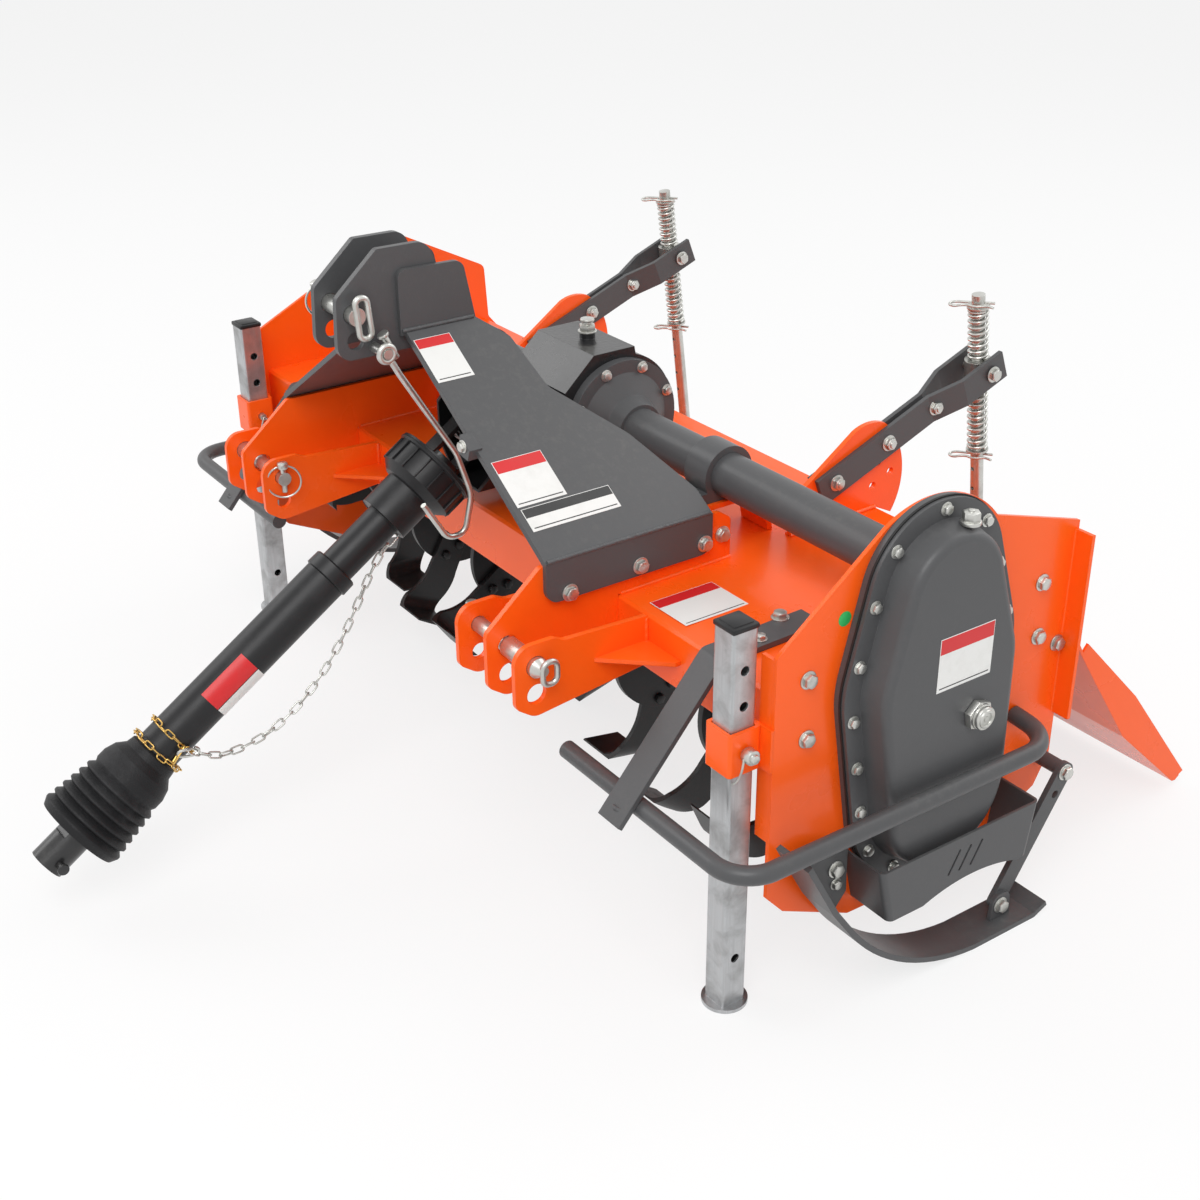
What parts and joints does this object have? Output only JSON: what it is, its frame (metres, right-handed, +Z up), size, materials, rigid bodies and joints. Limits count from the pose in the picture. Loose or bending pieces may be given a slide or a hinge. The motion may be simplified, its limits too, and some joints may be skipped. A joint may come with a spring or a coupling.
{
  "type": "rotavator",
  "caption": "Rear-mounted rotary tiller for a tractor, with three-point hitch, power shaft, chain case, C-shaped tines, levelling board on spring rods and parking stands.",
  "frame": {"origin": "on the ground under the middle of the bounding box", "axes": "+X across the machine towards the chain case, +Y to the rear, away from the tractor, +Z up"},
  "size_m": [1.637, 1.5842, 0.88],
  "materials": {
    "orange_paint": "gloss",
    "grey_paint": "satin",
    "black_paint": "satin",
    "black_plastic": "matt",
    "zinc": "satin",
    "bare_steel": "satin",
    "gasket": "matt"
  },
  "bodies": {
    "base": {"axle_tubes": "grey_paint", "braces": "grey_paint", "case_back": "grey_paint", "case_cover": "grey_paint", "case_gasket": "gasket", "case_guard": "grey_paint", "deck": "orange_paint", "deck_hinges": "orange_paint", "hinge_rod": "zinc", "gearbox": "black_paint", "hitch_brackets": "orange_paint", "hitch_pins": "zinc", "hook_rod": "zinc", "hoops": "grey_paint", "input_shield": "black_plastic", "input_yoke": "black_paint", "lift_arms": "grey_paint", "mast": "grey_paint", "mast_legs": "grey_paint", "pedestals": "orange_paint", "quadrants": "orange_paint", "rotor_bearing": "black_paint", "saddles": "grey_paint", "side_plate_left": "orange_paint", "side_plate_right": "orange_paint", "skid_links": "grey_paint", "skids": "grey_paint", "stand_sleeves": "orange_paint", "top_pin": "zinc"},
    "rotor": {"rotor": "black_paint", "rotor_flanges": "black_paint", "tines": "black_paint"},
    "tailboard": {"tailboard": "orange_paint"},
    "swivel_right": {"swivel_right": "zinc", "spring_top_right": "zinc", "spring_low_right": "zinc"},
    "swivel_left": {"swivel_left": "zinc", "spring_top_left": "zinc", "spring_low_left": "zinc"},
    "rod_right": {"rod_right": "zinc"},
    "rod_left": {"rod_left": "zinc"},
    "stand_right": {"stand_right": "bare_steel"},
    "stand_left": {"stand_left": "bare_steel"},
    "drive_inner": {"drive_joint": "black_paint", "guard_bell": "black_plastic", "safety_chain": "zinc"},
    "drive_outer": {"guard_outer": "black_plastic", "guard_bellows": "black_plastic", "drive_tube": "bare_steel", "tractor_yoke": "black_paint"}
  },
  "joints": [
    {"name": "rotor_turn", "type": "hinge", "parent": "base", "child": "rotor", "pos_m": [0, 0.154, 0.236], "axis": [1, 0, 0], "continuous": true},
    {"name": "tailboard_hinge", "type": "hinge", "parent": "base", "child": "tailboard", "pos_m": [0, 0.462, 0.388], "axis": [1, 0, 0], "range_deg": [0, 12]},
    {"name": "drive_swing", "type": "hinge", "parent": "base", "child": "drive_inner", "pos_m": [0, -0.073, 0.566], "axis": [-1, 0, 0], "range_deg": [0, 34]},
    {"name": "drive_slide", "type": "slide", "parent": "drive_inner", "child": "drive_outer", "axis": [0, -0.829, -0.5592], "range_m": [-0.08, 0.1], "deforming": ["safety_chain"]},
    {"name": "swivel_right_turn", "type": "hinge", "parent": "base", "child": "swivel_right", "pos_m": [0.382, 0.595, 0.64], "axis": [1, 0, 0], "range_deg": [0, 4.7]},
    {"name": "rod_right_slide", "type": "slide", "parent": "swivel_right", "child": "rod_right", "axis": [0, -0.1208, 0.9927], "range_m": [0, 0.037], "deforming": ["spring_low_right"]},
    {"name": "stand_right_slide", "type": "slide", "parent": "base", "child": "stand_right", "axis": [0, 0, 1], "range_m": [-0.09, 0.26]},
    {"name": "swivel_left_turn", "type": "hinge", "parent": "base", "child": "swivel_left", "pos_m": [-0.382, 0.595, 0.64], "axis": [1, 0, 0], "range_deg": [0, 4.7]},
    {"name": "rod_left_slide", "type": "slide", "parent": "swivel_left", "child": "rod_left", "axis": [0, -0.1208, 0.9927], "range_m": [0, 0.037], "deforming": ["spring_low_left"]},
    {"name": "stand_left_slide", "type": "slide", "parent": "base", "child": "stand_left", "axis": [0, 0, 1], "range_m": [-0.09, 0.26]}
  ],
  "couplings": [
    {"joint": "swivel_right_turn", "follows": "tailboard_hinge", "ratio": 0.3766},
    {"joint": "rod_right_slide", "follows": "tailboard_hinge", "m_per_rad": 0.1694},
    {"joint": "swivel_left_turn", "follows": "tailboard_hinge", "ratio": 0.3766},
    {"joint": "rod_left_slide", "follows": "tailboard_hinge", "m_per_rad": 0.1694}
  ]
}
